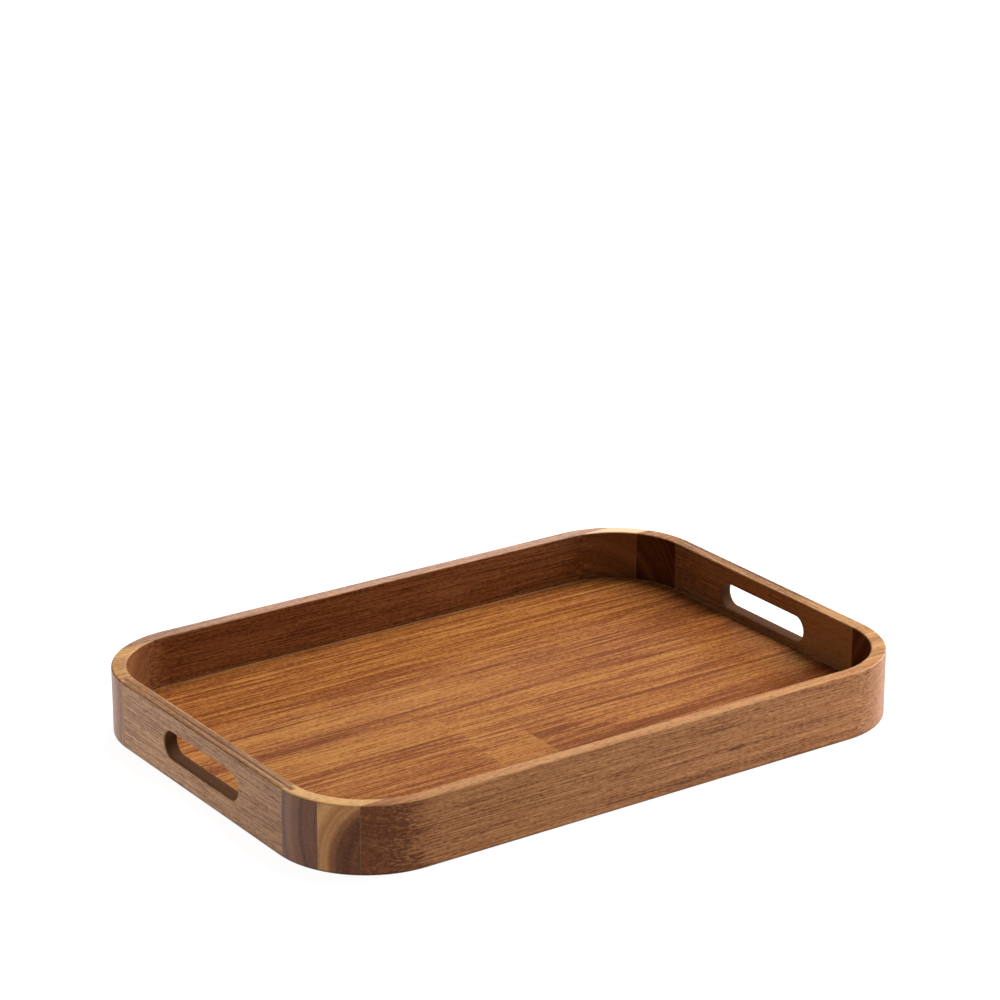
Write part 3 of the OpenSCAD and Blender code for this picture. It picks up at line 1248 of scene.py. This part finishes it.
BOARD_LOOKS = {
    "floor_board_1": board_look(41.0, 0.0, ()),
    "floor_board_2_left": board_look(
        42.0,
        0.1,
        (
            Streak(-72, 80, -115, -55, -0.12, fade=18),
            Streak(-54, 1.6, -130, -60, -0.5),
            Streak(-61, 1.0, -110, -60, 0.3, fade=10),
            Streak(-75, 1.2, -200, -60, -0.4),
            Streak(-84, 1.2, -150, -60, -0.3),
            Streak(-91, 2, -160, -60, -0.3),
        ),
    ),
    "floor_board_2_filler": board_look(
        43.0,
        0.2,
        (
            Streak(-56, 1.2, -45, -22, -0.5, fade=6),
            Streak(-68, 1.0, -60, -25, -0.25),
            Streak(-91, 3, -80, 0, -0.4),
            Streak(-76, 1, -60, -15, 0.15),
        ),
    ),
    "floor_board_2_right": board_look(
        44.0,
        0.08,
        (
            Streak(-62, 10, -60, 24, -0.5, slope=0.08, fade=16),
            Streak(-57, 1.2, -60, 50, 0.35, slope=0.1),
            Streak(-66, 1.2, -60, 60, -0.4, slope=0.12),
            Streak(-78, 4, -60, 50, -0.5, slope=0.12, fade=25),
            Streak(-91, 8, -30, 150, -0.65, slope=0.05, fade=35),
            Streak(-85, 10, 150, 300, -0.6, fade=35),
            Streak(-70, 1.0, 20, 180, -0.25, slope=0.05),
        ),
    ),
    "floor_board_3_left": board_look(
        45.0,
        0.32,
        (
            Streak(-37, 14, -300, 0, -0.3, fade=60),
            Streak(-21.5, 1.0, -300, 0, -0.35),
            Streak(-30, 1.6, -300, 0, -0.35),
            Streak(-35, 1.2, -300, 0, -0.25),
            Streak(-41.5, 1.6, -300, 0, -0.4),
            Streak(-47, 1.4, -300, -100, -0.4),
            Streak(6, 1.0, -300, 0, 0.2),
        ),
        ring_width=3,
        rings=0.25,
    ),
    "floor_board_3_right": board_look(
        46.0,
        0.2,
        (
            Streak(-11, 3, -56, 110, -0.3),
            Streak(-22, 0.9, -56, 60, -0.3),
            Streak(-33, 5, -56, 60, -0.3, fade=40),
            Streak(-43.5, 1.6, -56, 300, -0.6),
            Streak(-50, 1.4, -56, 60, -0.4),
            # Painted shade: a wide band darkening the board towards the right wall, where the wall's
            # shade falls
            Streak(-28, 60, 60, 400, -0.27, fade=90),
            Streak(-39, 0.8, 0, 300, 0.3),
            Streak(-25, 120, -120, -30, 0.1, fade=30),
        ),
        ring_width=3,
        rings=0.3,
    ),
    "floor_board_4": board_look(
        47.0,
        0.12,
        (
            Streak(16, 9, -300, -90, -0.42, slope=0.01, fade=60),
            Streak(11, 2, -300, -110, -0.2, fade=30),
            Streak(23, 2.5, -170, -20, -0.25, fade=40),
            Streak(37, 7, -300, 60, 0.25, slope=-0.03, fade=60),
            Streak(51, 1.5, -300, -40, -0.35, fade=40),
            Streak(10, 2.5, -80, 110, -0.25, slope=0.06, fade=40),
            Streak(44, 1.2, 0, 200, -0.25, slope=0.04, fade=40),
            Streak(58, 1.2, -100, 300, -0.25, fade=40),
            # Painted shade: a wide band darkening the board towards the right wall, where the wall's
            # shade falls
            Streak(30, 120, 50, 400, -0.25, fade=90),
        ),
        ring_width=6,
        sway=9,
        rings=0.3,
    ),
    "floor_board_5": board_look(
        48.0,
        -0.02,
        (
            Streak(83, 3.5, -300, 0, -0.32, fade=60),
            Streak(91, 3.0, -300, 260, -0.22, fade=50),
            Streak(96.5, 0.8, -300, 300, 0.45),
            Streak(101.5, 0.8, -300, 300, -0.5),
            Streak(105.5, 0.7, -200, 300, 0.3),
            Streak(116, 0.8, -100, 300, 0.45),
            Streak(112, 0.7, -60, 300, -0.4),
            Streak(76, 1.2, -300, 100, -0.25),
            Streak(70, 1.5, -100, 200, 0.15),
            # Painted shade: a wide band darkening the board towards the right wall, where the wall's
            # shade falls
            Streak(90, 120, 120, 400, -0.16, fade=70),
        ),
        ring_width=3,
    ),
    "floor_board_6": board_look(
        49.0,
        -0.02,
        (
            Streak(140, 0.8, -300, 300, 0.45),
            Streak(136.5, 0.9, -300, 300, -0.5),
            Streak(126.5, 0.8, -300, 300, 0.4),
            Streak(130, 0.7, -300, 300, -0.3),
            Streak(148, 0.9, -300, 200, -0.35),
            Streak(121, 1.2, -300, 300, -0.4),
            Streak(153, 0.8, -300, 100, 0.3),
            Streak(144, 0.7, -300, 300, -0.25),
        ),
        ring_width=3,
    ),
}


# ---- Operators ----


class TRAY_OT_long_rails(Operator):
    """Build the front and back rails"""

    bl_idname = "tray.long_rails"
    bl_label = "Long rails"

    def execute(self, context):
        sizes = context.scene.tray_sizes
        for row, side in (("front", -1), ("back", 1)):
            node = row + "_rail"
            mesh = long_rail_mesh(sizes, JOINTS[row + "_left"], JOINTS[row + "_right"])
            add_piece(node, mirrored(mesh, 1, side), wood_material(node, RAIL_LOOKS[node]))
        return {"FINISHED"}


class TRAY_OT_end_rails(Operator):
    """Build the two end rails with their hand slots"""

    bl_idname = "tray.end_rails"
    bl_label = "End rails"

    def execute(self, context):
        sizes = context.scene.tray_sizes
        for end, side, slot_middle in (("left", -1, sizes.left_slot), ("right", 1, 0.0)):
            node = end + "_end_rail"
            mesh = end_rail_mesh(sizes, JOINTS["front_" + end], JOINTS["back_" + end], slot_middle)
            add_piece(node, mirrored(mesh, side, 1), wood_material(node, END_LOOKS[node]))
        return {"FINISHED"}


def build_blocks(context, kind, maker, looks):
    """Builds one block of that kind in each corner."""
    for corner, joints in JOINTS.items():
        node = f"{corner}_{kind}_block"
        side_x = 1 if corner.endswith("right") else -1
        side_y = 1 if corner.startswith("back") else -1
        mesh = mirrored(maker(context.scene.tray_sizes, joints), side_x, side_y)
        add_piece(node, mesh, wood_material(node, looks[node], joints))


class TRAY_OT_outer_blocks(Operator):
    """Build the outer block of each corner, beside a long rail"""

    bl_idname = "tray.outer_blocks"
    bl_label = "Outer blocks"

    def execute(self, context):
        build_blocks(context, "outer", outer_block_mesh, OUTER_BLOCK_LOOKS)
        return {"FINISHED"}


class TRAY_OT_inner_blocks(Operator):
    """Build the inner block of each corner, grooved for an end rail's tongue"""

    bl_idname = "tray.inner_blocks"
    bl_label = "Inner blocks"

    def execute(self, context):
        build_blocks(context, "inner", inner_block_mesh, INNER_BLOCK_LOOKS)
        return {"FINISHED"}


class TRAY_OT_floor_boards(Operator):
    """Build the floor's edge-glued boards"""

    bl_idname = "tray.floor_boards"
    bl_label = "Floor boards"

    def execute(self, context):
        for node, look in BOARD_LOOKS.items():
            add_piece(node, floor_board_mesh(node), wood_material(node, look))
        return {"FINISHED"}


# Half the table's width, and how far its top lies below the tray's foot
TABLE_HALF = 9.0
TABLE_DROP = 0.0003

# The table's own light on the tray: its direction along x and y, and the strength at two distances
TABLE_TOWARDS = (-0.57, -0.82)
TABLE_NEAR = (0.05, 1.54)
TABLE_FAR = (0.5, 0.64)

# Strength of the surroundings low down and high up, and as they are seen
ROOM_LOW = (0.1, 0.03)
ROOM_HIGH = (0.9, 0.25)
ROOM_SEEN = 1.1

# Place and size of each soft light
SOFT_LIGHTS = {
    "top_light": ((1.55, 0.45, 2.7), (2.2, 2.0)),
    "side_light": ((1.5, 0.1, 0.62), (0.6, 0.9)),
    "back_light": ((0.82, 1.35, 0.56), (0.85, 0.25)),
}


def table_material(glow):
    """White table. The light it throws on the tray falls off towards the camera's side."""
    material = bpy.data.materials.new("white_table")
    material.use_nodes = True
    tree = Tree(material.node_tree)
    x, y, _ = tree.split(tree.add("ShaderNodeTexCoord").outputs["Object"])
    towards = tree.plus(tree.times(x, TABLE_TOWARDS[0]), tree.times(y, TABLE_TOWARDS[1]))
    thrown = tree.remap(towards, TABLE_NEAR[0], TABLE_FAR[0], TABLE_NEAR[1], TABLE_FAR[1])
    seen = tree.add("ShaderNodeLightPath").outputs["Is Camera Ray"]
    shader = material.node_tree.nodes["Principled BSDF"]
    shader.inputs["Base Color"].default_value = (0.3, 0.3, 0.3, 1)
    shader.inputs["Roughness"].default_value = 1.0
    shader.inputs["Specular IOR Level"].default_value = 0.0
    tree.feed(shader.inputs["Emission Color"], tree.mix(seen, thrown, (glow, glow, glow, 1)))
    shader.inputs["Emission Strength"].default_value = 1.0
    return material


def add_table(glow):
    """The plain table that the tray stands on, wide enough to fill the view."""
    mesh_edit = bmesh.new()
    bmesh.ops.create_grid(mesh_edit, x_segments=8, y_segments=8, size=TABLE_HALF)
    mesh = bpy.data.meshes.new("table")
    mesh_edit.to_mesh(mesh)
    mesh_edit.free()
    table = bpy.data.objects.new("table", mesh)
    table.location.z = -TABLE_DROP
    mesh.materials.append(table_material(glow))
    bpy.context.scene.collection.objects.link(table)


def add_soft_light(name, place, size, power):
    """A rectangular soft light aimed at the middle of the tray."""
    data = bpy.data.lights.new(name, "AREA")
    data.shape = "RECTANGLE"
    data.size, data.size_y = size
    data.energy = power
    light = bpy.data.objects.new(name, data)
    light.location = place
    light.rotation_euler = (-Vector(place)).to_track_quat("-Z", "Y").to_euler()
    light.visible_camera = False
    bpy.context.scene.collection.objects.link(light)


def add_world():
    """Light from all round the studio: dim at the sides, brighter above. The camera sees plain white."""
    world = bpy.data.worlds.new("studio")
    world.use_nodes = True
    node_tree = world.node_tree
    node_tree.nodes.clear()
    tree = Tree(node_tree)
    direction = tree.add("ShaderNodeTexCoord").outputs["Generated"]
    height = tree.split(direction)[2]
    lit = tree.add("ShaderNodeBackground")
    lit.inputs["Color"].default_value = (1, 1, 1, 1)
    strength = tree.remap(height, ROOM_LOW[0], ROOM_HIGH[0], ROOM_LOW[1], ROOM_HIGH[1], smooth=True)
    tree.feed(lit.inputs["Strength"], strength)
    seen = tree.add("ShaderNodeBackground")
    seen.inputs["Color"].default_value = (1, 1, 1, 1)
    seen.inputs["Strength"].default_value = ROOM_SEEN
    chosen = tree.add("ShaderNodeMixShader")
    tree.feed(chosen.inputs[0], tree.add("ShaderNodeLightPath").outputs["Is Camera Ray"])
    tree.feed(chosen.inputs[1], lit.outputs[0])
    tree.feed(chosen.inputs[2], seen.outputs[0])
    output = tree.add("ShaderNodeOutputWorld")
    tree.feed(output.inputs["Surface"], chosen.outputs[0])
    bpy.context.scene.world = world


def add_camera(studio):
    """The camera, looking down across the front left corner."""
    turn, rise = studio.azimuth, studio.elevation
    back = Vector(
        (math.sin(turn) * math.cos(rise), -math.cos(turn) * math.cos(rise), math.sin(rise))
    )
    right = Vector((math.cos(turn), math.sin(turn), 0))
    up = back.cross(right)
    data = bpy.data.cameras.new("camera")
    data.lens = studio.lens
    camera = bpy.data.objects.new("camera", data)
    camera.location = back * studio.distance + right * studio.aim_right + up * studio.aim_up
    camera.rotation_euler = Matrix((right, up, back)).transposed().to_euler()
    bpy.context.scene.collection.objects.link(camera)
    bpy.context.scene.camera = camera


class TRAY_OT_stage(Operator):
    """Set the table, the lights, the surroundings and the camera"""

    bl_idname = "tray.stage"
    bl_label = "Studio"

    def execute(self, context):
        studio = context.scene.tray_studio
        add_table(studio.table_glow)
        for name, (place, size) in SOFT_LIGHTS.items():
            add_soft_light(name, place, size, getattr(studio, name))
        add_world()
        add_camera(studio)
        context.scene.view_settings.view_transform = "Standard"
        return {"FINISHED"}


class VIEW3D_PT_serving_tray(Panel):
    """Lists the steps that build the tray"""

    bl_label = "Serving Tray"
    bl_space_type = "VIEW_3D"
    bl_region_type = "UI"
    bl_category = "Tray"

    def draw(self, context):
        for operator in STEPS:
            self.layout.operator(operator.bl_idname)


STEPS = (
    TRAY_OT_long_rails,
    TRAY_OT_end_rails,
    TRAY_OT_outer_blocks,
    TRAY_OT_inner_blocks,
    TRAY_OT_floor_boards,
    TRAY_OT_stage,
)
SETTINGS = (TraySizes, TrayWoods, TrayStudio)


def register():
    for cls in SETTINGS + STEPS + (VIEW3D_PT_serving_tray,):
        bpy.utils.register_class(cls)
    bpy.types.Scene.tray_sizes = PointerProperty(type=TraySizes)
    bpy.types.Scene.tray_woods = PointerProperty(type=TrayWoods)
    bpy.types.Scene.tray_studio = PointerProperty(type=TrayStudio)


def unregister():
    del bpy.types.Scene.tray_studio
    del bpy.types.Scene.tray_woods
    del bpy.types.Scene.tray_sizes
    for cls in reversed(SETTINGS + STEPS + (VIEW3D_PT_serving_tray,)):
        bpy.utils.unregister_class(cls)


def main():
    """Builds the whole tray and its studio."""
    register()
    for operator in STEPS:
        category, name = operator.bl_idname.split(".")
        getattr(getattr(bpy.ops, category), name)()


if __name__ == "__main__":
    main()
